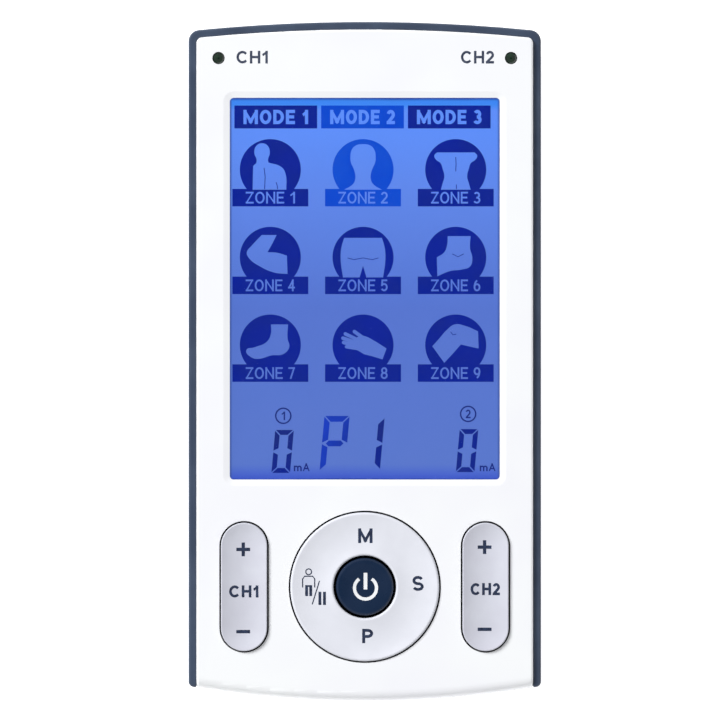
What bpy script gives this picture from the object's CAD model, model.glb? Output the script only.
import math

import bmesh
import bpy
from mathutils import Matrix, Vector
from mathutils.bvhtree import BVHTree
from mathutils.geometry import delaunay_2d_cdt


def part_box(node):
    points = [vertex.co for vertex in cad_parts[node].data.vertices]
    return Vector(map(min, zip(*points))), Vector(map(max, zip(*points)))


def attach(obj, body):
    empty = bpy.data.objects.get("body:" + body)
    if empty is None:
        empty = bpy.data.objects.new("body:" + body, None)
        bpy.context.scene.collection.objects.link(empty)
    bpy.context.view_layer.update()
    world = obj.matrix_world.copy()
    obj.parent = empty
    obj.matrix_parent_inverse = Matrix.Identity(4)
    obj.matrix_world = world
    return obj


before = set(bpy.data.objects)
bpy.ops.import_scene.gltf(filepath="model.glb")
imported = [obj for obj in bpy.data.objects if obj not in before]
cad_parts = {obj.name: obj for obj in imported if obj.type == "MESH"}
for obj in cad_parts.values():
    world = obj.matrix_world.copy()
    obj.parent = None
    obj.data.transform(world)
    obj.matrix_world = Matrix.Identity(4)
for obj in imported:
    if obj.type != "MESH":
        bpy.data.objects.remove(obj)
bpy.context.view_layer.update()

# ------------------------------------------------------------------ rear shell and its plate
# The back half of the case is white ABS, injection moulded, with a fine spark-eroded grain that
# hides scratches from the table. Its screw towers, lip and battery fence are part of the same
# moulding. A blank polyester plate is stuck into the shallow bed on its face.

MM = 0.001
CASE_WHITE = (250, 252, 254)
CASE_COOL = (247, 248, 253)
PLATE_SILVER = (206, 210, 216)
PLATE_GREY = (196, 200, 208)


def tone(red, green, blue):
    """A colour card's 0 to 255 values as the linear colour that a shader takes."""
    shares = (red / 255, green / 255, blue / 255)
    return tuple(((v + 0.055) / 1.055) ** 2.4 if v > 0.04045 else v / 12.92 for v in shares) + (1.0,)


def node(material, kind, **values):
    """A node of that kind in a material, with the named inputs set."""
    made = material.node_tree.nodes.new(kind)
    for key, value in values.items():
        made.inputs[key.replace("_", " ")].default_value = value
    return made


def join(material, *pairs):
    """Links outputs to inputs, given one after the other."""
    for out, into in zip(pairs[::2], pairs[1::2]):
        material.node_tree.links.new(out, into)


def cloud(material, size, detail=2.0):
    """Soft random patches of that size in metres, fixed to the piece."""
    place = node(material, "ShaderNodeTexCoord")
    made = node(material, "ShaderNodeTexNoise", Scale=1 / size, Detail=detail)
    join(material, place.outputs["Object"], made.inputs["Vector"])
    return made.outputs["Fac"]


def ramp(material, amount, *stops):
    """Blends colours along an amount from 0 to 1. Each stop is a position and a colour."""
    made = node(material, "ShaderNodeValToRGB")
    line = made.color_ramp.elements
    while len(line) < len(stops):
        line.new(1.0)
    for element, (position, colour) in zip(line, stops):
        element.position = position
        element.color = tone(*colour)
    join(material, amount, made.inputs["Fac"])
    return made.outputs["Color"]


def between(material, amount, low, high, start=0.0, end=1.0):
    """Carries an amount from the range start to end over to the range low to high."""
    made = node(material, "ShaderNodeMapRange")
    for key, value in (("From Min", start), ("From Max", end), ("To Min", low), ("To Max", high)):
        made.inputs[key].default_value = value
    join(material, amount, made.inputs["Value"])
    return made.outputs["Result"]


def finish(name, main, other, patch, rough, grain, relief, **fixed):
    """A finish of two close shades in soft patches, a roughness that wanders between two values and
    a grain of that width and relief. The rest of the shader's sockets are fixed values."""
    material = bpy.data.materials.new(name)
    material.use_nodes = True
    shader = material.node_tree.nodes["Principled BSDF"]
    for key, value in fixed.items():
        shader.inputs[key.replace("_", " ")].default_value = value
    colour = ramp(material, cloud(material, patch), (0.35, main), (0.65, other))
    gloss = between(material, cloud(material, patch / 3), *rough)
    bump = node(material, "ShaderNodeBump", Strength=1.0, Distance=relief)
    join(material, colour, shader.inputs["Base Color"], gloss, shader.inputs["Roughness"],
         cloud(material, grain, 4.0), bump.inputs["Height"],
         bump.outputs["Normal"], shader.inputs["Normal"])
    return material


def dress(material, *names):
    """Gives CAD nodes their finish."""
    for name in names:
        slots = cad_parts[name].data.materials
        slots.clear()
        slots.append(material)


rear_white = finish("rear_case_white", CASE_WHITE, CASE_COOL, 9 * MM, (0.34, 0.46), 0.22 * MM, 5e-6)
dress(rear_white, "rear_shell")
plate_foil = finish("plate_foil", PLATE_SILVER, PLATE_GREY, 5 * MM, (0.3, 0.42), 0.12 * MM, 2e-6,
                    Metallic=0.55)
dress(plate_foil, "rating_plate")

# ------------------------------------------------------------------ battery
# A lithium polymer pouch: aluminium laminate with a heat-sealed skin, stuck to the floor of the
# rear shell with foam tape. Its protection board and two silicone leads run to the connector.

CELL_SILVER = (176, 180, 186)
CELL_GREY = (150, 155, 163)
FOAM_GREY = (70, 72, 76)
FOAM_DARK = (54, 56, 60)
GUARD_GREEN = (28, 96, 58)
GUARD_DARK = (16, 70, 42)
LEAD_RED = (176, 24, 22)
LEAD_DEEP_RED = (140, 14, 16)
LEAD_BLACK = (22, 22, 24)
LEAD_GREY = (36, 36, 38)

cell_foil = finish("cell_foil", CELL_SILVER, CELL_GREY, 6 * MM, (0.26, 0.44), 1.4 * MM, 3e-5,
                   Metallic=0.85)
foam = finish("foam_tape", FOAM_GREY, FOAM_DARK, 2 * MM, (0.8, 0.95), 0.3 * MM, 4e-5)
guard_mask = finish("guard_board_mask", GUARD_GREEN, GUARD_DARK, 1.5 * MM, (0.25, 0.4), 0.4 * MM, 1e-5)
red_silicone = finish("red_silicone", LEAD_RED, LEAD_DEEP_RED, 3 * MM, (0.42, 0.55), 0.2 * MM, 3e-6)
black_silicone = finish("black_silicone", LEAD_BLACK, LEAD_GREY, 3 * MM, (0.42, 0.55), 0.2 * MM, 3e-6)
dress(cell_foil, "battery_cell")
dress(foam, "battery_pad")
dress(guard_mask, "battery_guard")
dress(red_silicone, "battery_lead_red")
dress(black_silicone, "battery_lead_black")

# ------------------------------------------------------------------ main board and its parts
# Glass-epoxy board under green solder mask, with tinned copper showing at the pads. The controller,
# transformers, capacitors, inductor, buzzer and connector are soldered to its rear face.

MASK_GREEN = (14, 92, 52)
MASK_DEEP = (9, 74, 42)
TRACE_GREEN = (30, 122, 70)
TIN_LIGHT = (206, 206, 204)
TIN_GREY = (176, 177, 178)
MOULD_BLACK = (24, 25, 27)
MOULD_GREY = (34, 35, 38)
FERRITE_GREY = (58, 58, 62)
FERRITE_DARK = (44, 44, 48)
TAPE_YELLOW = (222, 186, 60)
TAPE_AMBER = (204, 164, 44)
CAN_ALUMINIUM = (204, 206, 210)
CAN_GREY = (182, 185, 190)


def board_mask():
    """Solder mask with the paler lines of the copper under it."""
    material = finish("board_mask", MASK_GREEN, MASK_DEEP, 4 * MM, (0.22, 0.34), 0.5 * MM, 6e-6)
    place = node(material, "ShaderNodeTexCoord")
    cells = node(material, "ShaderNodeTexVoronoi", Scale=1 / (3.2 * MM), Randomness=0.55)
    cells.feature = "DISTANCE_TO_EDGE"
    join(material, place.outputs["Object"], cells.inputs["Vector"])
    shader = material.node_tree.nodes["Principled BSDF"]
    lines = ramp(material, cells.outputs["Distance"], (0.045, TRACE_GREEN), (0.06, MASK_GREEN))
    join(material, lines, shader.inputs["Base Color"])
    return material


black_mould = finish("black_moulding", MOULD_BLACK, MOULD_GREY, 3 * MM, (0.4, 0.55), 0.15 * MM, 4e-6)
tinned = finish("tinned_metal", TIN_LIGHT, TIN_GREY, 1.2 * MM, (0.22, 0.36), 0.3 * MM, 4e-6, Metallic=1.0)
ferrite = finish("ferrite", FERRITE_GREY, FERRITE_DARK, 1.5 * MM, (0.5, 0.7), 0.12 * MM, 8e-6)
coil_tape = finish("coil_tape", TAPE_YELLOW, TAPE_AMBER, 2 * MM, (0.3, 0.42), 0.6 * MM, 1e-5)
can_metal = finish("can_metal", CAN_ALUMINIUM, CAN_GREY, 1.5 * MM, (0.25, 0.4), 0.25 * MM, 4e-6,
                   Metallic=0.9)
dress(board_mask(), "main_board")
dress(black_mould, "controller_chip", "buzzer", "battery_connector")
dress(tinned, "controller_legs")
dress(ferrite, "ch1_transformer_core", "ch2_transformer_core", "boost_inductor")
dress(coil_tape, "ch1_transformer_coil", "ch2_transformer_coil")
dress(can_metal, "output_capacitors")

# ------------------------------------------------------------------ sockets
# Two 3.5 mm sockets for the electrode leads, of black nylon with sprung brass contacts, and a
# charging socket with a folded steel sleeve round a black tongue. All are soldered to the board.

BRASS_LIGHT = (214, 180, 104)
BRASS_DARK = (188, 150, 78)
STEEL_LIGHT = (196, 198, 202)
STEEL_DARK = (164, 167, 172)

spring_brass = finish("spring_brass", BRASS_LIGHT, BRASS_DARK, 1.5 * MM, (0.22, 0.36), 0.2 * MM, 3e-6,
                      Metallic=1.0)
sleeve_steel = finish("sleeve_steel", STEEL_LIGHT, STEEL_DARK, 2 * MM, (0.24, 0.4), 0.18 * MM, 3e-6,
                      Metallic=1.0)
dress(black_mould, "ch1_jack", "ch2_jack", "port_tongue")
dress(spring_brass, "jack_contacts")
dress(sleeve_steel, "port_sleeve")

# ------------------------------------------------------------------ display stack
# From the board up: reflector sheet, light guide with its strip of lamps, rear polarizer, the two
# glasses and the front polarizer, held by a nylon frame. A zebra rubber strip joins it to the board.

HOLDER_WHITE = (232, 234, 236)
HOLDER_GREY = (220, 222, 226)
SHEET_WHITE = (246, 247, 248)
SHEET_GREY = (236, 238, 240)
STRIP_BLUE = (150, 180, 255)
GUIDE_CLEAR = (232, 240, 250)
GUIDE_BLUE = (214, 228, 248)
GLASS_CLEAR = (206, 216, 232)
GLASS_BLUE = (190, 204, 226)
FILM_SMOKE = (86, 92, 104)
FILM_DARK = (74, 80, 92)
RUBBER_GREY = (62, 64, 68)
RUBBER_PINK = (176, 140, 140)

holder_nylon = finish("display_holder", HOLDER_WHITE, HOLDER_GREY, 5 * MM, (0.4, 0.5), 0.2 * MM, 4e-6)
reflector_film = finish("reflector_film", SHEET_WHITE, SHEET_GREY, 8 * MM, (0.5, 0.62), 0.15 * MM, 2e-6)
guide_acrylic = finish("guide_acrylic", GUIDE_CLEAR, GUIDE_BLUE, 9 * MM, (0.05, 0.12), 0.4 * MM, 2e-6,
                       Transmission_Weight=0.8, IOR=1.49)
cell_glass = finish("display_glass", GLASS_CLEAR, GLASS_BLUE, 12 * MM, (0.02, 0.06), 2 * MM, 1e-7,
                    Transmission_Weight=0.9, IOR=1.52)
smoked_film = finish("polarizer_film", FILM_SMOKE, FILM_DARK, 9 * MM, (0.3, 0.4), 0.3 * MM, 1e-6)
contact_strip = finish("contact_strip", RUBBER_GREY, RUBBER_PINK, 0.5 * MM, (0.6, 0.8), 0.2 * MM, 6e-6)
strip_light = finish("backlight_strip", SHEET_WHITE, GUIDE_BLUE, 2 * MM, (0.3, 0.4), 0.3 * MM, 2e-6,
                     Emission_Color=tone(*STRIP_BLUE), Emission_Strength=2.0)
dress(holder_nylon, "display_frame")
dress(reflector_film, "reflector_sheet")
dress(guide_acrylic, "light_guide")
dress(cell_glass, "rear_glass", "front_glass")
dress(smoked_film, "rear_polarizer")
dress(contact_strip, "contact_rubber")
dress(strip_light, "backlight_strip")

# ------------------------------------------------------------------ lit face of the display
# The front polarizer shows the blue backlight, brightest below the lamps at its top edge and
# deeper in colour towards its sides. All that isn't darkened by the liquid crystal has this light.

LIGHT_TOP = (64, 138, 244)
LIGHT_HEAD = (96, 144, 247)
LIGHT_UPPER = (97, 136, 231)
LIGHT_MIDDLE = (88, 118, 205)
LIGHT_LOW = (92, 121, 202)
LIGHT_FOOT = (66, 92, 202)
LIGHT_RIM = (38, 62, 150)
LIGHT_SIDE = (64, 88, 158)

LIGHT_BASE = (20, 26, 60)
LIT_TOP = 45.92
LIT_FOOT = -20.57
LIT_SIDE = 23.5
SIDE_FADE = 0.4


def backlit():
    """The backlight's own colour over the display's face."""
    material = bpy.data.materials.new("display_light")
    material.use_nodes = True
    shader = material.node_tree.nodes["Principled BSDF"]
    shader.inputs["Base Color"].default_value = tone(*LIGHT_BASE)
    shader.inputs["Specular IOR Level"].default_value = 0.2
    shader.inputs["Emission Strength"].default_value = 1.0
    place = node(material, "ShaderNodeTexCoord")
    axes = node(material, "ShaderNodeSeparateXYZ")
    height = between(material, axes.outputs["Y"], 0, 1, LIT_FOOT * MM, LIT_TOP * MM)
    waver = node(material, "ShaderNodeMath")
    waver.operation = "ADD"
    drift = between(material, cloud(material, 14 * MM), -0.004, 0.004)
    column = ramp(material, waver.outputs["Value"], (0.0, LIGHT_RIM), (0.004, LIGHT_FOOT), (0.04, LIGHT_LOW),
                  (0.45, LIGHT_MIDDLE), (0.74, LIGHT_UPPER), (0.9, LIGHT_HEAD), (0.968, LIGHT_HEAD),
                  (0.982, LIGHT_TOP), (0.995, LIGHT_TOP), (0.998, LIGHT_RIM))
    reach = node(material, "ShaderNodeMath")
    reach.operation = "ABSOLUTE"
    side = between(material, reach.outputs["Value"], 0, 1, (LIT_SIDE - SIDE_FADE) * MM, LIT_SIDE * MM)
    blend = node(material, "ShaderNodeMix")
    blend.data_type = "RGBA"
    factor, first, second = blend.inputs[0], blend.inputs[6], blend.inputs[7]
    second.default_value = tone(*LIGHT_SIDE)
    join(material, place.outputs["Object"], axes.inputs["Vector"], height, waver.inputs[0],
         drift, waver.inputs[1], axes.outputs["X"], reach.inputs[0], side, factor, column, first,
         blend.outputs[2], shader.inputs["Emission Color"],
         between(material, cloud(material, 2 * MM), 0.3, 0.4), shader.inputs["Roughness"])
    return material


display_light = backlit()
dress(display_light, "front_polarizer")

# ------------------------------------------------------------------ what the display shows
# Liquid crystal segments: nine zone plates in three rows, each a disc with a picture over a bar
# with its number, three mode bars, and the seven-segment figures of both channels.

SEGMENT_NAVY = (9, 34, 152)
SEGMENT_DEEP = (14, 36, 142)
SEGMENT_CHOSEN = (8, 72, 208)
SEGMENT_CHOSEN_LOW = (16, 80, 211)
FIGURE_NAVY = (26, 42, 126)
FIGURE_BLUE = (24, 54, 168)
FIGURE_BRIGHT = (26, 62, 192)
MARK_NAVY = (28, 42, 124)
SEGMENT_BASE = (8, 10, 24)

ZONE_PITCH_X = 16.18
ZONE_PITCH_Y = 15.31
ZONE_MIDDLE = (-0.30, 18.18)
ZONE_DISC = 5.33
ZONE_BAR = (13.25, 3.06)
ZONE_DROP = 4.89
DISC_SIDES = 72
MODE_BAR = (14.44, 4.0)
MODE_Y = 42.68
MODE_X = (-15.53, -0.39, 14.75)
MODE_WORD = (11.3, 2.5)
MODE_STROKE = 0.56
ZONE_WORD = (8.6, 2.05)
ZONE_STROKE = 0.3
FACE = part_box("front_polarizer")[1].z / MM
DARK_LAYER = (FACE + 0.004, FACE + 0.024)
LIGHT_LAYER = (FACE + 0.028, FACE + 0.040)
LINE_LAYER = (FACE + 0.044, FACE + 0.050)


def segment(name, main, other):
    """Darkened liquid crystal, with the little backlight that still passes."""
    material = finish(name, main, other, 6 * MM, (0.3, 0.4), 0.3 * MM, 5e-7,
                      Specular_IOR_Level=0.2, Emission_Strength=1.0)
    shader = material.node_tree.nodes["Principled BSDF"]
    leak = shader.inputs["Base Color"].links[0].from_socket
    material.node_tree.links.remove(shader.inputs["Base Color"].links[0])
    shader.inputs["Base Color"].default_value = tone(*SEGMENT_BASE)
    join(material, leak, shader.inputs["Emission Color"])
    return material


navy_segment = segment("segment_navy", SEGMENT_NAVY, SEGMENT_DEEP)
chosen_segment = segment("segment_chosen", SEGMENT_CHOSEN, SEGMENT_CHOSEN_LOW)
figure_segment = segment("figure_navy", FIGURE_NAVY, SEGMENT_DEEP)
program_segment = segment("figure_blue", FIGURE_BLUE, FIGURE_BRIGHT)
mark_segment = segment("mark_navy", MARK_NAVY, FIGURE_NAVY)


def filled(curve):
    """The filled face of a flat curve, as a mesh."""
    holder = bpy.data.objects.new("outline", curve)
    bpy.context.scene.collection.objects.link(holder)
    bpy.context.view_layer.update()
    flat = bpy.data.meshes.new_from_object(holder.evaluated_get(bpy.context.evaluated_depsgraph_get()))
    bpy.data.objects.remove(holder)
    shape = bmesh.new()
    shape.from_mesh(flat)
    bmesh.ops.remove_doubles(shape, verts=shape.verts, dist=1e-6)
    shape.normal_update()
    bmesh.ops.reverse_faces(shape, faces=[f for f in shape.faces if f.normal.z < 0])
    shape.to_mesh(flat)
    shape.free()
    return flat


def loops(*outlines, centre=(0, 0)):
    """Closed outlines as one flat mesh in metres, an outline inside another being a hole. A point
    with a third value is a corner, and the others are on a smooth line."""
    curve = bpy.data.curves.new("loops", "CURVE")
    curve.dimensions = "2D"
    curve.fill_mode = "BOTH"
    curve.resolution_u = 8
    for outline in outlines:
        line = curve.splines.new("BEZIER")
        line.bezier_points.add(len(outline) - 1)
        for knot, point in zip(line.bezier_points, outline):
            knot.co = (point[0] + centre[0], point[1] + centre[1], 0)
            kind = "VECTOR" if len(point) == 3 else "AUTO"
            knot.handle_left_type = knot.handle_right_type = kind
        line.use_cyclic_u = True
    flat = filled(curve)
    for v in flat.vertices:
        v.co *= MM
    return flat


def corners(*points):
    """The points as sharp corners."""
    return [(x, y, 0) for x, y in points]


def box_outline(middle, size):
    """A rectangle's outline."""
    (x, y), (w, h) = middle, (size[0] / 2, size[1] / 2)
    return corners((x - w, y - h), (x + w, y - h), (x + w, y + h), (x - w, y + h))


def arc(middle, radii, start=0.0, end=360.0, count=17):
    """Points on an arc of a circle, or of an ellipse with two radii, with the angles in degrees."""
    across, up = radii if isinstance(radii, tuple) else (radii, radii)
    turns = [math.radians(start + (end - start) * i / (count - 1)) for i in range(count)]
    return [(middle[0] + across * math.cos(a), middle[1] + up * math.sin(a)) for a in turns]


def ribbon(points, width):
    """Areas along a line of that width through the points. It closes if they end where they start."""
    closed = math.dist(points[0], points[-1]) < 1e-6
    before = [points[-2] if closed else points[0]] + points[:-1]
    after = points[1:] + [points[1] if closed else points[-1]]
    sides = []
    for (x, y), a, b in zip(points, before, after):
        along = (Vector(b) - Vector(a)).normalized() * width / 2
        sides.append(((x - along.y, y + along.x), (x + along.y, y - along.x)))
    return [(a[0], a[1], b[1], b[0]) for a, b in zip(sides, sides[1:])]


def union(areas):
    """Areas that may overlap as one flat mesh in metres. Each is a list of corners, anticlockwise."""
    spots = [Vector(corner) for area in areas for corner in area]
    starts = [sum(len(area) for area in areas[:i]) for i in range(len(areas))]
    outlines = [list(range(start, start + len(area))) for start, area in zip(starts, areas)]
    places, _, faces, _, _, owners = delaunay_2d_cdt(spots, [], outlines, 0, 1e-5)
    flat = bpy.data.meshes.new("union")
    flat.from_pydata([(x * MM, y * MM, 0) for x, y in places], [],
                     [face for face, owner in zip(faces, owners) if owner])
    return flat


# The letters' strokes in a box of 1 by 1: its width beside a capital's height, its own height,
# straight strokes and bent ones.
GLYPHS = {
    " ": (0.26, 1, [], []),
    "A": (0.86, 1, [((0, 0), (0.5, 1)), ((1, 0), (0.5, 1)), ((0.28, 0.3), (0.72, 0.3))], []),
    "C": (0.9, 1, [], [arc((0.52, 0.5), (0.52, 0.5), 40, 320)]),
    "D": (0.8, 1, [((0, 0), (0, 1))],
          [[(0, 1), (0.3, 1), *arc((0.35, 0.5), (0.65, 0.5), 80, -80), (0.3, 0), (0, 0)]]),
    "E": (0.68, 1, [((0, 0), (0, 1)), ((0, 1), (1, 1)), ((0, 0.51), (0.86, 0.51)), ((0, 0), (1, 0))], []),
    "H": (0.8, 1, [((0, 0), (0, 1)), ((1, 0), (1, 1)), ((0, 0.51), (1, 0.51))], []),
    "M": (1.08, 1, [((0, 0), (0, 1)), ((1, 0), (1, 1)), ((0, 1), (0.5, 0.08)), ((1, 1), (0.5, 0.08))], []),
    "N": (0.82, 1, [((0, 0), (0, 1)), ((1, 0), (1, 1)), ((0, 1), (1, 0))], []),
    "O": (0.86, 1, [], [arc((0.5, 0.5), (0.5, 0.5), count=33)]),
    "P": (0.74, 1, [((0, 0), (0, 1))],
          [[(0, 1), (0.45, 1), *arc((0.5, 0.73), (0.5, 0.27), 75, -75), (0.45, 0.46), (0, 0.46)]]),
    "S": (0.76, 1, [], [arc((0.5, 0.74), (0.47, 0.26), 25, 265)
                        + arc((0.5, 0.24), (0.5, 0.24), 85, -155)]),
    "Z": (0.72, 1, [((0, 1), (1, 1)), ((0, 0), (1, 0)), ((0, 0), (1, 1))], []),
    "m": (1.0, 0.7, [((0, 0), (0, 1)), ((0.5, 0), (0.5, 0.6)), ((1, 0), (1, 0.6))],
          [arc((0.25, 0.64), (0.25, 0.36), 180, 0), arc((0.75, 0.64), (0.25, 0.36), 180, 0)]),
    "1": (0.44, 1, [((1, 0), (1, 1)), ((1, 0.98), (0, 0.76))], []),
    "2": (0.64, 1, [((0, 0), (1, 0))], [arc((0.5, 0.71), (0.5, 0.29), 165, -35) + [(0.02, 0.03)]]),
    "3": (0.64, 1, [], [arc((0.46, 0.75), (0.46, 0.25), 150, -100),
                        arc((0.46, 0.25), (0.54, 0.25), 100, -155)]),
    "4": (0.66, 1, [((0.74, 0), (0.74, 1)), ((0.74, 1), (0, 0.28)), ((0, 0.28), (1, 0.28))], []),
    "5": (0.64, 1, [((0.12, 1), (0.92, 1)), ((0.12, 1), (0.04, 0.52))],
          [arc((0.47, 0.32), (0.53, 0.32), 148, -150)]),
    "6": (0.64, 1, [], [arc((0.5, 0.31), (0.5, 0.31), count=33),
                        arc((0.72, 0.31), (0.72, 0.69), 105, 180)]),
    "7": (0.62, 1, [((0, 1), (1, 1)), ((1, 1), (0.32, 0))], []),
    "8": (0.66, 1, [], [arc((0.5, 0.755), (0.43, 0.245), count=33),
                        arc((0.5, 0.26), (0.5, 0.26), count=33)]),
    "9": (0.64, 1, [], [arc((0.5, 0.69), (0.5, 0.31), count=33),
                        arc((0.28, 0.69), (0.72, 0.69), -75, 0)]),
}
LETTER_GAP = 0.14


def words(text, middle, size, weight):
    """Text as a flat mesh that fills a size about middle, in strokes of that weight."""
    share = size[0] / (sum(GLYPHS[c][0] for c in text) + LETTER_GAP * (len(text) - 1))
    left, low = middle[0] - size[0] / 2, middle[1] - size[1] / 2
    areas = []
    for letter in text:
        width, height, lines, bends = GLYPHS[letter]
        wide, tall = width * share, height * size[1]

        def placed(points):
            return [(left + weight / 2 + u * (wide - weight), low + weight / 2 + v * (tall - weight))
                    for u, v in points]

        for line in lines:
            a, b = (Vector(p) for p in placed(line))
            reach = (b - a).normalized() * weight / 2
            areas += [[(min(max(x, left), left + wide), min(max(y, low), low + tall)) for x, y in area]
                      for area in ribbon([tuple(a - reach), tuple(b + reach)], weight)]
        for bend in bends:
            areas += ribbon(placed(bend), weight)
        left += (width + LETTER_GAP) * share
    return union(areas)


def plated(name, flats, low, high, material):
    """Flat meshes as one piece of closed plates, between two heights in metres. Each height is a
    function of X and Y."""
    points, faces = [], []
    for flat in flats:
        start, count = len(points), len(flat.vertices)
        spots = [(v.co.x, v.co.y) for v in flat.vertices]
        points += [(x, y, low(x, y)) for x, y in spots] + [(x, y, high(x, y)) for x, y in spots]
        rings = [[start + i for i in face.vertices] for face in flat.polygons]
        faces += [ring[::-1] for ring in rings] + [[i + count for i in ring] for ring in rings]
        sides = {(a, b) for ring in rings for a, b in zip(ring, ring[1:] + ring[:1])}
        faces += [(a, b, b + count, a + count) for a, b in sorted(sides) if (b, a) not in sides]
        bpy.data.meshes.remove(flat)
    mesh = bpy.data.meshes.new(name)
    mesh.from_pydata(points, [], faces)
    mesh.materials.append(material)
    piece = bpy.data.objects.new(name, mesh)
    bpy.context.scene.collection.objects.link(piece)
    return piece


def shown(name, flats, layer, material):
    """Display graphics: plates in one of the thin layers on the display's face."""
    low, high = (z * MM for z in layer)
    piece = plated(name, flats, lambda x, y: low, lambda x, y: high, material)
    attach(piece, "case")
    return piece


def zone_tree():
    """Geometry Nodes for the zone plates: a disc over a bar, at each point of a grid."""
    tree = bpy.data.node_groups.new("zone_plates", "GeometryNodeTree")
    face = tree.interface
    for label, kind in (("Columns", "Int"), ("Rows", "Int"), ("Pitch X", "Float"), ("Pitch Y", "Float"),
                        ("Middle", "Vector"), ("Left out", "Int"), ("Disc", "Float"), ("Drop", "Float"),
                        ("Bar", "Vector"), ("Thickness", "Float"), ("Finish", "Material")):
        face.new_socket(label, in_out="INPUT", socket_type="NodeSocket" + kind)
    face.new_socket("Plates", in_out="OUTPUT", socket_type="NodeSocketGeometry")
    add, link = tree.nodes.new, tree.links.new
    given = add("NodeGroupInput").outputs
    spans = {}
    for axis, many in (("X", "Columns"), ("Y", "Rows")):
        gaps = add("ShaderNodeMath")
        gaps.operation = "SUBTRACT"
        gaps.inputs[1].default_value = 1
        link(given[many], gaps.inputs[0])
        spans[axis] = add("ShaderNodeMath")
        spans[axis].operation = "MULTIPLY"
        link(gaps.outputs[0], spans[axis].inputs[0])
        link(given["Pitch " + axis], spans[axis].inputs[1])
    grid = add("GeometryNodeMeshGrid")
    link(spans["X"].outputs[0], grid.inputs["Size X"])
    link(spans["Y"].outputs[0], grid.inputs["Size Y"])
    link(given["Columns"], grid.inputs["Vertices X"])
    link(given["Rows"], grid.inputs["Vertices Y"])
    index = add("GeometryNodeInputIndex")
    skip = add("FunctionNodeCompare")
    skip.data_type = "INT"
    skip.operation = "EQUAL"
    here, left_out = skip.inputs[2], skip.inputs[3]
    link(index.outputs[0], here)
    link(given["Left out"], left_out)
    thin = add("GeometryNodeDeleteGeometry")
    link(grid.outputs["Mesh"], thin.inputs["Geometry"])
    link(skip.outputs[0], thin.inputs["Selection"])
    spread = add("GeometryNodeTransform")
    link(thin.outputs[0], spread.inputs["Geometry"])
    link(given["Middle"], spread.inputs["Translation"])
    disc = add("GeometryNodeMeshCylinder")
    disc.inputs["Vertices"].default_value = DISC_SIDES
    link(given["Disc"], disc.inputs["Radius"])
    link(given["Thickness"], disc.inputs["Depth"])
    bar = add("GeometryNodeMeshCube")
    link(given["Bar"], bar.inputs["Size"])
    drop = add("ShaderNodeCombineXYZ")
    turned = add("ShaderNodeMath")
    turned.operation = "MULTIPLY"
    turned.inputs[1].default_value = -1
    link(given["Drop"], turned.inputs[0])
    link(turned.outputs[0], drop.inputs["Y"])
    lowered = add("GeometryNodeTransform")
    link(bar.outputs["Mesh"], lowered.inputs["Geometry"])
    link(drop.outputs[0], lowered.inputs["Translation"])
    fuse = add("GeometryNodeMeshBoolean")
    fuse.operation = "UNION"
    link(disc.outputs["Mesh"], fuse.inputs["Mesh"])
    link(lowered.outputs["Geometry"], fuse.inputs["Mesh"])
    place = add("GeometryNodeInstanceOnPoints")
    link(spread.outputs["Geometry"], place.inputs["Points"])
    link(fuse.outputs["Mesh"], place.inputs["Instance"])
    real = add("GeometryNodeRealizeInstances")
    link(place.outputs["Instances"], real.inputs["Geometry"])
    coat = add("GeometryNodeSetMaterial")
    link(real.outputs["Geometry"], coat.inputs["Geometry"])
    link(given["Finish"], coat.inputs["Material"])
    link(coat.outputs["Geometry"], add("NodeGroupOutput").inputs["Plates"])
    return tree


def grown(name, tree, **values):
    """The plain mesh piece that a Geometry Nodes tree makes from named values."""
    seed = bpy.data.objects.new(name + "_seed", bpy.data.meshes.new(name + "_seed"))
    bpy.context.scene.collection.objects.link(seed)
    modifier = seed.modifiers.new("made", "NODES")
    modifier.node_group = tree
    for socket in tree.interface.items_tree:
        if socket.in_out == "INPUT":
            modifier[socket.identifier] = values[socket.name.replace(" ", "_")]
    seed.update_tag()
    bpy.context.view_layer.update()
    mesh = bpy.data.meshes.new_from_object(seed.evaluated_get(bpy.context.evaluated_depsgraph_get()))
    seed.modifiers.remove(modifier)
    bpy.data.objects.remove(seed)
    mesh.name = name
    piece = bpy.data.objects.new(name, mesh)
    bpy.context.scene.collection.objects.link(piece)
    return piece


zones = zone_tree()
dark_middle = sum(DARK_LAYER) / 2 * MM
dark_thick = (DARK_LAYER[1] - DARK_LAYER[0]) * MM
like_all = dict(Pitch_X=ZONE_PITCH_X * MM, Pitch_Y=ZONE_PITCH_Y * MM, Disc=ZONE_DISC * MM,
                Drop=ZONE_DROP * MM, Thickness=dark_thick,
                Bar=(ZONE_BAR[0] * MM, ZONE_BAR[1] * MM, dark_thick))
CHOSEN = 5
NONE_LEFT_OUT = 9
# A grid's points are numbered up each column, from the left one.
plain_zones = grown("display_zones", zones, Columns=3, Rows=3, Left_out=CHOSEN, Finish=navy_segment,
                    Middle=(ZONE_MIDDLE[0] * MM, ZONE_MIDDLE[1] * MM, dark_middle), **like_all)
chosen_zone = grown("display_zone_chosen", zones, Columns=1, Rows=1, Left_out=NONE_LEFT_OUT,
                    Finish=chosen_segment,
                    Middle=(ZONE_MIDDLE[0] * MM, (ZONE_MIDDLE[1] + ZONE_PITCH_Y) * MM, dark_middle),
                    **like_all)
for piece in (plain_zones, chosen_zone):
    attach(piece, "case")

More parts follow.
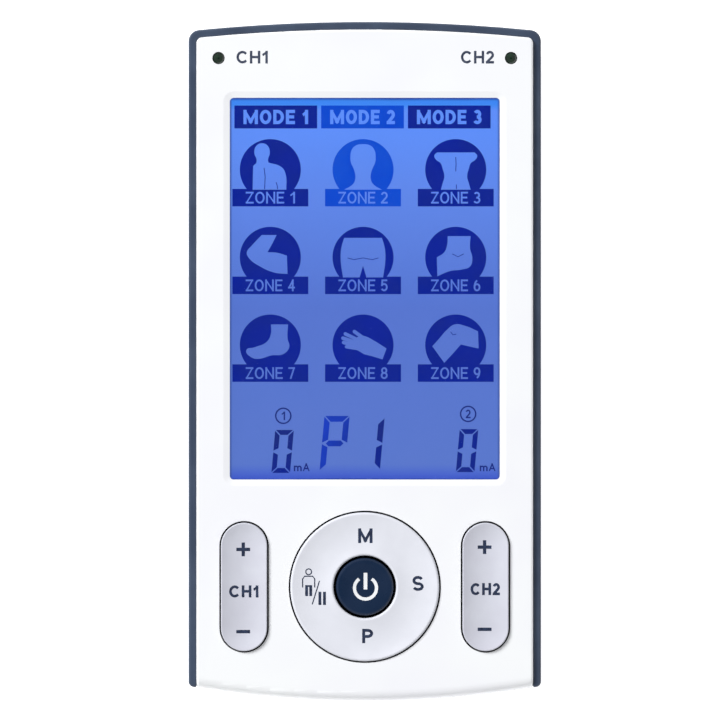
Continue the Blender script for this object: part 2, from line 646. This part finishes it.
side_modes = [loops(box_outline((x, MODE_Y), MODE_BAR)) for x in (MODE_X[0], MODE_X[2])]
shown("display_modes", side_modes, DARK_LAYER, navy_segment)
shown("display_mode_chosen", [loops(box_outline((MODE_X[1], MODE_Y), MODE_BAR))], DARK_LAYER,
      chosen_segment)
mode_words = [words(f"MODE {i + 1}", (x, MODE_Y), MODE_WORD, MODE_STROKE)
              for i, x in enumerate(MODE_X)]
shown("display_mode_words", mode_words, LIGHT_LAYER, display_light)


def mirrored(half):
    """A right half's outline, from top to bottom, with its mirror image on the left."""
    return half + [(-p[0], *p[1:]) for p in reversed(half) if p[0] != 0]


# Simple body pictures, one for each zone, about the middle of its disc. The eighth is the hand.
PICTURES = [
    [[(-3.1, -3.5, 0), (-3.0, 0.65, 0), (-2.45, 1.15, 0), (-2.4, 1.75), (-2.8, 2.9), (-2.45, 4.15),
      (-1.45, 4.6), (-0.45, 4.15), (-0.1, 2.9), (-0.4, 1.75), (-0.35, 1.25, 0), (2.0, 0.4), (2.65, -0.7),
      (2.8, -3.5, 0)]],
    [mirrored([(0, 4.45), (1.3, 4.2), (2.0, 3.4), (2.2, 2.3), (2.1, 1.2), (1.7, 0.3), (1.4, -0.6),
               (1.35, -1.6), (1.75, -2.5), (3.3, -3.5, 0)])],
    [mirrored([(0, 3.0, 0), (3.3, 3.0, 0), (3.75, 2.4), (3.3, 1.6), (2.7, 1.2), (2.3, 0.2), (2.0, -1.2),
               (2.3, -2.4), (2.6, -3.5, 0)])],
    [[(-1.5, 3.9, 0), (1.1, 3.9, 0), (0.3, 2.3), (-0.5, 0.9, 0), (1.2, 0.8), (2.9, 0.3, 0),
      (3.0, -2.9, 0), (0.9, -2.7), (-1.6, -1.7), (-3.9, 0.1), (-4.1, 0.9), (-3.2, 2.1)]],
    [mirrored([(0, 3.4, 0), (3.3, 3.4, 0), (3.8, 1.6), (3.9, -0.5), (3.5, -3.5, 0), (0.6, -3.5, 0),
               (0, -1.5, 0)])],
    [[(-1.4, 3.7, 0), (2.6, 3.7, 0), (2.5, 1.6), (2.9, -0.2), (2.5, -1.6), (1.2, -2.1), (-1.0, -2.4),
      (-3.2, -3.3, 0), (-3.3, 0, 0), (-2.0, 0.9), (-1.5, 2.2)]],
    [[(0.1, 3.6, 0), (3.1, 3.6, 0), (3.0, 1.2), (3.3, -0.4), (2.2, -1.6), (0.2, -1.8), (-2.0, -2.4),
      (-3.2, -2.2), (-4.2, -0.9), (-2.8, -0.4), (-0.6, 0.6), (0.1, 2.0)]],
    [],
    [[(3.9, 2.4, 0), (1.8, 3.3), (-0.2, 3.6), (-1.6, 2.6), (-3.0, 1.0), (-4.1, -0.2, 0), (-2.0, -3.1, 0),
      (-0.6, -1.6), (0.9, 0.1, 0), (2.6, -0.3), (4.0, -0.6, 0)]],
]
# Fine lines on them: the zone's number in the list, and the points.
CREASES = [(0, [(-1.1, 0.3), (-0.9, -1.2), (-1.0, -3.4)]), (0, [(1.0, -2.2), (1.2, -2.8), (1.25, -3.4)]),
           (2, [(0, 2.2), (0.06, 1.0), (0, -0.3)]), (2, [(0.1, -2.6), (0.12, -3.0), (0.1, -3.4)]),
           (4, [(-2.7, -0.1), (-1.6, -0.4), (0, -0.1), (1.6, -0.4), (2.7, -0.1)]),
           (5, [(-0.6, 0.6), (0.4, 0.1), (1.4, 0.6)]), (8, [(-0.9, 2.3), (-0.5, 1.8), (0.1, 1.9)])]
CREASE_WIDTH = 0.13


def zone_centre(number):
    """The middle of a zone's disc. Zones are counted along the rows, from the top left."""
    return (ZONE_MIDDLE[0] + (number % 3 - 1) * ZONE_PITCH_X,
            ZONE_MIDDLE[1] + (1 - number // 3) * ZONE_PITCH_Y)


def capsule(start, end, width):
    """The outline of a stroke with round ends."""
    turn = math.degrees(math.atan2(end[1] - start[1], end[0] - start[0]))
    return arc(end, width / 2, turn - 90, turn + 90) + arc(start, width / 2, turn + 90, turn + 270)


# The hand: its palm and wrist, and each finger's root, tip and width.
HAND = 7
PALM = [(-1.6, 0), (-1.0, -0.9), (0.2, -1.6), (1.6, -1.95), (3.4, -2.5), (4.1, -0.6), (2.4, 0.5),
        (0.9, 1.35), (-0.3, 1.75), (-1.3, 1.2)]
FINGERS = [((-0.2, 1.4), (-1.5, 2.35), 0.62), ((-0.9, 0.9), (-3.1, 1.95), 0.6),
           ((-1.1, 0.4), (-3.5, 1.2), 0.62), ((-1.2, -0.1), (-3.4, 0.45), 0.62),
           ((-1.0, -0.6), (-2.9, -0.3), 0.58)]

pictures = [loops(*outlines, centre=zone_centre(i)) for i, outlines in enumerate(PICTURES) if outlines]
hand_x, hand_y = zone_centre(HAND)
hand = [PALM] + [capsule(*finger) for finger in FINGERS]
pictures.append(union([[(hand_x + x, hand_y + y) for x, y in area] for area in hand]))
shown("display_pictures", pictures, LIGHT_LAYER, display_light)
creases = []
for i, points in CREASES:
    x, y = zone_centre(i)
    creases.append(union(ribbon([(x + u, y + v) for u, v in points], CREASE_WIDTH)))
shown("display_picture_lines", creases, LINE_LAYER, navy_segment)
zone_words = []
for i in range(9):
    x, y = zone_centre(i)
    zone_words.append(words(f"ZONE {i + 1}", (x, y - ZONE_DROP), ZONE_WORD, ZONE_STROKE))
shown("display_zone_words", zone_words, LIGHT_LAYER, display_light)

# Seven-segment figures: which bars are dark, the low left corner, width, height and stroke.
FIGURES = [("figure_current_1", "abcdef", (-16.3, -19.45), 3.25, 7.5, 0.86, figure_segment),
           ("figure_current_2", "abcdef", (15.9, -19.3), 3.25, 7.5, 0.86, figure_segment),
           ("figure_program_letter", "abefg", (-7.9, -19.1), 4.4, 9.6, 1.02, program_segment),
           ("figure_program_digit", "bc", (-1.7, -18.9), 4.35, 9.1, 1.02, figure_segment)]
LEAN = 0.09
BAR_GAP = 0.14


def bars(lit, corner, wide, tall, thick):
    """The dark bars of a seven-segment figure, as outlines. Bars are lettered clockwise from the
    top, and g is the middle one."""
    g, s, middle = BAR_GAP, thick, tall / 2
    upper = [(wide, tall - g), (wide - s, tall - g - s), (wide - s, middle + g + s / 2), (wide, middle + g)]
    top = [(g, tall), (g + s, tall - s), (wide - g - s, tall - s), (wide - g, tall)]
    across = [(g + s / 2, middle), (s + g, middle + s / 2), (wide - s - g, middle + s / 2),
              (wide - g - s / 2, middle), (wide - s - g, middle - s / 2), (s + g, middle - s / 2)]

    def turned(outline, left, low):
        return [(wide - x if left else x, tall - y if low else y) for x, y in outline]

    parts = {"a": top, "b": upper, "c": turned(upper, False, True), "d": turned(top, False, True),
             "e": turned(upper, True, True), "f": turned(upper, True, False), "g": across}
    return [corners(*[(corner[0] + x + LEAN * y, corner[1] + y) for x, y in parts[name]]) for name in lit]


for name, lit, corner, wide, tall, thick, material in FIGURES:
    outlines = bars(lit, corner, wide, tall, thick)
    shown("display_" + name, [loops(outline) for outline in outlines], DARK_LAYER, material)

# Each channel's number in a ring: the number, the ring's middle and the number's size.
MARKS = [("1", (-14.22, -9.48), (0.62, 1.5)), ("2", (18.05, -9.15), (0.85, 1.5))]
MARK_RING = 1.32
MARK_STROKE = 0.25
UNIT_WORD = (2.75, 1.4)
UNIT_MIDDLES = [(-11.0, -18.45), (21.45, -18.45)]
marks = []
for text, middle, size in MARKS:
    marks.append(union(ribbon(arc(middle, MARK_RING, count=33), MARK_STROKE)))
    marks.append(words(text, middle, size, MARK_STROKE))
for middle in UNIT_MIDDLES:
    marks.append(words("mA", middle, UNIT_WORD, MARK_STROKE))
shown("display_marks", marks, DARK_LAYER, mark_segment)

# ------------------------------------------------------------------ lens
# Clear acrylic, cut to size with polished faces, and held under the ledge of the front shell by a
# frame of black double-sided tape.

ACRYLIC = (252, 253, 255)
ACRYLIC_COOL = (249, 252, 255)
TAPE_BLACK = (16, 17, 20)
TAPE_GREY = (26, 27, 30)

clear_acrylic = finish("clear_acrylic", ACRYLIC, ACRYLIC_COOL, 12 * MM, (0.0, 0.015), 3 * MM, 2e-8,
                       Transmission_Weight=1.0, IOR=1.3)
lens_tape = finish("lens_tape", TAPE_BLACK, TAPE_GREY, 2 * MM, (0.5, 0.7), 0.2 * MM, 4e-6)
dress(clear_acrylic, "window_lens")
dress(lens_tape, "lens_tape")

# ------------------------------------------------------------------ front shell
# White ABS with a piano gloss: polished in the tool, so it shows a faint orange peel and a clear
# coat, with the bevel round the window and the rolled edge at the low end in the same moulding.

gloss_white = finish("front_case_white", CASE_WHITE, CASE_COOL, 16 * MM, (0.16, 0.24), 1.8 * MM, 1.2e-6,
                     Coat_Weight=0.35, Coat_Roughness=0.05)
dress(gloss_white, "front_shell")

# ------------------------------------------------------------------ side band
# A U of slate blue ABS, moulded on its own and clipped in the seam round both sides and the top
# end. Its face has a fine satin grain.

BAND_SLATE = (70, 82, 102)
BAND_BLUE = (61, 72, 92)

band_slate = finish("band_slate", BAND_SLATE, BAND_BLUE, 7 * MM, (0.3, 0.42), 0.25 * MM, 5e-6)
dress(band_slate, "side_band")

# ------------------------------------------------------------------ key mat
# One moulding of translucent silicone rubber with a dome under each key, and a conductive carbon
# pill inside each dome that closes the contact on the board.

MAT_WHITE = (206, 210, 214)
MAT_GREY = (190, 194, 200)
CARBON_BLACK = (18, 18, 19)
CARBON_GREY = (30, 30, 32)

silicone = finish("silicone_mat", MAT_WHITE, MAT_GREY, 5 * MM, (0.5, 0.65), 0.3 * MM, 5e-6,
                  Subsurface_Weight=0.3, Subsurface_Scale=0.0006)
carbon = finish("carbon_pill", CARBON_BLACK, CARBON_GREY, 0.8 * MM, (0.6, 0.8), 0.15 * MM, 6e-6)
dress(silicone, "key_mat")
dress(carbon, "carbon_pills")

# ------------------------------------------------------------------ keys
# Dark ABS caps, sprayed silver grey on their faces, a little paler on the ring. Their sides stay
# dark below the paint, down in the gap. The power button's cap is sprayed navy.

RING_SILVER = (231, 233, 242)
RING_LILAC = (226, 228, 237)
KEY_SILVER = (212, 214, 225)
KEY_LILAC = (206, 207, 219)
POWER_NAVY = (20, 39, 66)
POWER_BLUE = (27, 44, 71)
GAP_BLACK = (9, 10, 13)
PAINT_DOWN = 0.3
PAINT_EDGE = 0.06


def sprayed(name, main, other, gloss):
    """Paint on the face of a dark cap: it ends a little way down the cap's side."""
    material = finish(name, main, other, 5 * MM, gloss, 0.12 * MM, 1.2e-6, Coat_Weight=0.2,
                      Coat_Roughness=0.15)
    shader = material.node_tree.nodes["Principled BSDF"]
    paint = shader.inputs["Base Color"].links[0].from_socket
    place = node(material, "ShaderNodeTexCoord")
    axes = node(material, "ShaderNodeSeparateXYZ")
    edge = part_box("front_shell")[1].z - PAINT_DOWN * MM
    cover = between(material, axes.outputs["Z"], 0, 1, edge, edge + PAINT_EDGE * MM)
    blend = node(material, "ShaderNodeMix")
    blend.data_type = "RGBA"
    factor, first, second = blend.inputs[0], blend.inputs[6], blend.inputs[7]
    first.default_value = tone(*GAP_BLACK)
    join(material, place.outputs["Object"], axes.inputs["Vector"], cover, factor, paint, second,
         blend.outputs[2], shader.inputs["Base Color"])
    return material


ring_silver = sprayed("ring_silver", RING_SILVER, RING_LILAC, (0.3, 0.4))
key_silver = sprayed("key_silver", KEY_SILVER, KEY_LILAC, (0.3, 0.4))
power_navy = sprayed("power_navy", POWER_NAVY, POWER_BLUE, (0.24, 0.32))
dress(ring_silver, "key_ring")
dress(key_silver, "ch1_rocker", "ch2_rocker")
dress(power_navy, "power_button")
dress(black_mould, "ring_carrier")

# ------------------------------------------------------------------ printed legends
# Pad-printed ink, a few hundredths of a millimetre thick: channel names on the front shell, and
# the signs on the keys. It follows the curve of each face and moves with its key.

INK_SLATE = (74, 82, 102)
INK_NAVY = (52, 60, 80)
INK_KEY = (50, 62, 88)
INK_KEY_DARK = (36, 44, 66)
INK_WHITE = (244, 246, 248)
INK_WARM = (236, 239, 243)
INK_PROUD = 0.012
INK_SUNK = 0.02
INK_STEP = 0.35
SKY = 0.05

slate_ink = finish("ink_slate", INK_SLATE, INK_NAVY, 0.8 * MM, (0.4, 0.55), 0.08 * MM, 1e-6)
key_ink = finish("ink_key", INK_KEY, INK_KEY_DARK, 0.8 * MM, (0.4, 0.55), 0.08 * MM, 1e-6)
white_ink = finish("ink_white", INK_WHITE, INK_WARM, 0.8 * MM, (0.35, 0.5), 0.08 * MM, 1e-6)


def face_of(name):
    """A function that finds the height of a CAD node's face at X and Y."""
    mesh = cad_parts[name].data
    tree = BVHTree.FromPolygons([v.co for v in mesh.vertices], [p.vertices for p in mesh.polygons])

    def height(x, y):
        return tree.ray_cast(Vector((x, y, SKY)), Vector((0, 0, -1)))[0].z

    return height


def fine(flat):
    """A flat mesh with no edge longer than the ink's step, so that it can follow a curved face."""
    shape = bmesh.new()
    shape.from_mesh(flat)
    for _ in range(6):
        bmesh.ops.triangulate(shape, faces=shape.faces)
        long = [e for e in shape.edges if e.calc_length() > INK_STEP * MM]
        if not long:
            break
        bmesh.ops.subdivide_edges(shape, edges=long, cuts=1)
    bmesh.ops.triangulate(shape, faces=shape.faces)
    shape.to_mesh(flat)
    shape.free()
    return flat


def printed(name, flats, on, body, material):
    """Ink on a CAD node's face."""
    height = face_of(on)
    piece = plated(name, [fine(flat) for flat in flats], lambda x, y: height(x, y) - INK_SUNK * MM,
                   lambda x, y: height(x, y) + INK_PROUD * MM, material)
    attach(piece, body)
    return piece


def middle_of(name):
    """The middle of a CAD node, in millimetres."""
    low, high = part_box(name)
    return (low.x + high.x) / 2 / MM, (low.y + high.y) / 2 / MM


PANEL_X = 19.6
PANEL_Y = 52.95
PANEL_STROKE = 0.42
panel_words = [words("CH1", (-PANEL_X, PANEL_Y), (5.45, 2.2), PANEL_STROKE),
               words("CH2", (PANEL_X, PANEL_Y), (5.75, 2.2), PANEL_STROKE)]
printed("panel_words", panel_words, "front_shell", "case", slate_ink)

SIGN_LENGTH = 2.4
SIGN_STROKE = 0.58
SIGN_LEFT = 0.15
PLUS_UP = 6.7
MINUS_DOWN = 7.6
KEY_WORD = (5.1, 2.1)
KEY_STROKE = 0.46
KEY_WORD_LEFT = 0.05
KEY_WORD_DOWN = 0.6
KEY_RISES = (-0.2, 0.2)


def plus(middle):
    """A plus sign's outline."""
    (x, y), a, b = middle, SIGN_LENGTH / 2, SIGN_STROKE / 2
    quarter = [(a, -b), (a, b), (b, b), (b, a)]
    turns = [(1, 0), (0, 1), (-1, 0), (0, -1)]
    return corners(*[(x + c * px - s * py, y + s * px + c * py)
                     for c, s in turns for px, py in quarter[:3]])


# The printing sits a little low on the left key, and a little high on the right one.
for channel, rise in enumerate(KEY_RISES, 1):
    x, y = middle_of(f"ch{channel}_rocker")
    y += rise
    signs = [loops(plus((x - SIGN_LEFT, y + PLUS_UP))),
             loops(box_outline((x - SIGN_LEFT, y - MINUS_DOWN), (SIGN_LENGTH, SIGN_STROKE))),
             words(f"CH{channel}", (x - KEY_WORD_LEFT, y - KEY_WORD_DOWN), KEY_WORD, KEY_STROKE)]
    printed(f"ch{channel}_key_signs", signs, f"ch{channel}_rocker", f"ch{channel}_key", key_ink)

ring_x, ring_y = middle_of("key_ring")

# The ring's letters: each one's place from the ring's middle, its size and stroke.
LETTERS = [("M", (0.1, 8.9), (2.5, 2.55), 0.52), ("S", (9.25, 0.6), (2.0, 2.6), 0.5),
           ("P", (0.5, -8.55), (1.9, 2.5), 0.52)]
# The person and pause sign at its left: the sign's middle from the ring's, a head, arms, and bars
# by their middle and size.
PERSON = (-9.76, -0.1)
HEAD_UP = 2.72
HEAD = 0.5
ARMS = [(-1.05, 0), (-1.05, 1.5), (-0.7, 1.95), (0.7, 1.95), (1.05, 1.5), (1.05, 0)]
LEGS = [((-0.36, -0.55), (0.5, 1.9)), ((0.36, -0.55), (0.5, 1.9)), ((0, 0.25), (1.22, 0.3))]
PAUSES = [((1.95, -1.9), (0.5, 2.3)), ((2.75, -1.9), (0.5, 2.3))]
SLASH = [(0.62, -2.95), (1.88, 1.15)]
FINE_STROKE = 0.2


def on_person(points):
    """Points given from the person sign's middle."""
    return [(ring_x + PERSON[0] + x, ring_y + PERSON[1] + y) for x, y in points]


solid_parts = [[point[:2] for point in box_outline(*part)] for part in LEGS + PAUSES]
person = [union(ribbon(on_person(arc((0, HEAD_UP), HEAD, count=33)), FINE_STROKE)
                + ribbon(on_person(ARMS), FINE_STROKE) + ribbon(on_person(SLASH), FINE_STROKE)
                + [on_person(part) for part in solid_parts])]
letters = [words(letter, (ring_x + x, ring_y + y), size, stroke)
           for letter, (x, y), size, stroke in LETTERS]
printed("ring_signs", letters + person, "key_ring", "ring", key_ink)

# The power sign: an arc by its radius and its two angles, and a bar at its gap.
POWER_SHIFT = 0.12
POWER_ARC = (1.92, 125, 415)
POWER_ARC_DOWN = 0.2
POWER_STROKE = 0.56
POWER_BAR = (0.64, 2.9)
POWER_BAR_UP = 1.0
power_x, power_y = middle_of("power_button")
power_x += POWER_SHIFT
bend = arc((power_x, power_y - POWER_ARC_DOWN), *POWER_ARC, 25)
power_sign = [union(ribbon(bend, POWER_STROKE)),
              loops(box_outline((power_x, power_y + POWER_BAR_UP), POWER_BAR))]
printed("power_sign", power_sign, "power_button", "power", white_ink)

# ------------------------------------------------------------------ indicator lamps
# Two 2 mm light-emitting diodes in dark green epoxy with a polished dome, pushed up through the
# front shell from behind. Their tinned pins go down to the board.

LAMP_GREEN = (6, 44, 22)
LAMP_DEEP = (3, 28, 14)

green_epoxy = finish("green_epoxy", LAMP_GREEN, LAMP_DEEP, 0.7 * MM, (0.04, 0.1), 0.6 * MM, 1e-6,
                     Coat_Weight=1.0, Coat_Roughness=0.02)
dress(green_epoxy, "ch1_lamp", "ch2_lamp")
dress(tinned, "lamp_pins")

# ------------------------------------------------------------------ screws
# Cross-recessed steel screws, zinc plated: four long ones hold the rear shell to the front one,
# and four short ones hold the board to its posts.

ZINC_LIGHT = (188, 190, 194)
ZINC_DARK = (158, 161, 166)

zinc_steel = finish("zinc_steel", ZINC_LIGHT, ZINC_DARK, 1.2 * MM, (0.26, 0.42), 0.15 * MM, 4e-6,
                    Metallic=1.0)
dress(zinc_steel, "case_screws", "board_screws")

# ------------------------------------------------------------------ studio
# A white table, a soft white room that is dim straight above, and two soft lamps that don't show
# as mirror images in the lens and the keys.

FLOOR_HALF = 1.5
FLOOR_DROP = 0.05
FLOOR_WHITE = (253, 253, 253)
FLOOR_SHADE = (250, 250, 251)
FLOOR_GLOW = 0.65

floor_mesh = bpy.data.meshes.new("floor")
half, drop = FLOOR_HALF, -FLOOR_DROP * MM
floor_mesh.from_pydata([(-half, -half, drop), (half, -half, drop), (half, half, drop),
                        (-half, half, drop)], [], [(0, 1, 2, 3)])
floor_mesh.materials.append(finish("floor_white", FLOOR_WHITE, FLOOR_SHADE, 90 * MM, (0.7, 0.8), 2 * MM,
                                   1e-6, Specular_IOR_Level=0.1, Emission_Color=tone(255, 255, 255),
                                   Emission_Strength=FLOOR_GLOW))
floor = bpy.data.objects.new("floor", floor_mesh)
bpy.context.scene.collection.objects.link(floor)

LOOK_AT = Vector((0, 0, 0.01))


def soft_lamp(name, place, size, power):
    """A square soft box, turned to the object."""
    light = bpy.data.lights.new(name, "AREA")
    light.size = size
    light.energy = power
    lamp = bpy.data.objects.new(name, light)
    lamp.visible_glossy = False
    lamp.location = place
    lamp.rotation_euler = (LOOK_AT - Vector(place)).to_track_quat("-Z", "Y").to_euler()
    bpy.context.scene.collection.objects.link(lamp)


soft_lamp("key_light", (-1.75, 1.4, 1.6), 1.0, 86.0)
soft_lamp("fill_light", (1.2, -1.5, 1.4), 1.4, 14.0)

# The room dims to the ceiling's share between these two sines of the angle over the horizon.
ROOM_WHITE = 0.32
ROOM_DIM = (0.93, 0.975)
CEILING = 0.06
room = bpy.data.worlds.new("room")
room.use_nodes = True
nodes, links = room.node_tree.nodes, room.node_tree.links
way = nodes.new("ShaderNodeTexCoord")
parts = nodes.new("ShaderNodeSeparateXYZ")
ceiling = nodes.new("ShaderNodeValToRGB")
stops = ceiling.color_ramp.elements
stops[0].position, stops[1].position = ROOM_DIM
stops[0].color = (1, 1, 1, 1)
stops[1].color = (CEILING, CEILING, CEILING, 1)
links.new(way.outputs["Generated"], parts.inputs["Vector"])
links.new(parts.outputs["Z"], ceiling.inputs["Fac"])
links.new(ceiling.outputs["Color"], nodes["Background"].inputs["Color"])
nodes["Background"].inputs["Strength"].default_value = ROOM_WHITE
bpy.context.scene.world = room
bpy.context.scene.view_settings.view_transform = "Standard"

CAMERA_PLACE = (-0.00083, 0.00026, 0.6)
CAMERA_LENS = 167.4
camera_data = bpy.data.cameras.new("camera")
camera_data.lens = CAMERA_LENS
camera_data.sensor_width = 36
camera = bpy.data.objects.new("camera", camera_data)
camera.location = CAMERA_PLACE
bpy.context.scene.collection.objects.link(camera)
bpy.context.scene.camera = camera
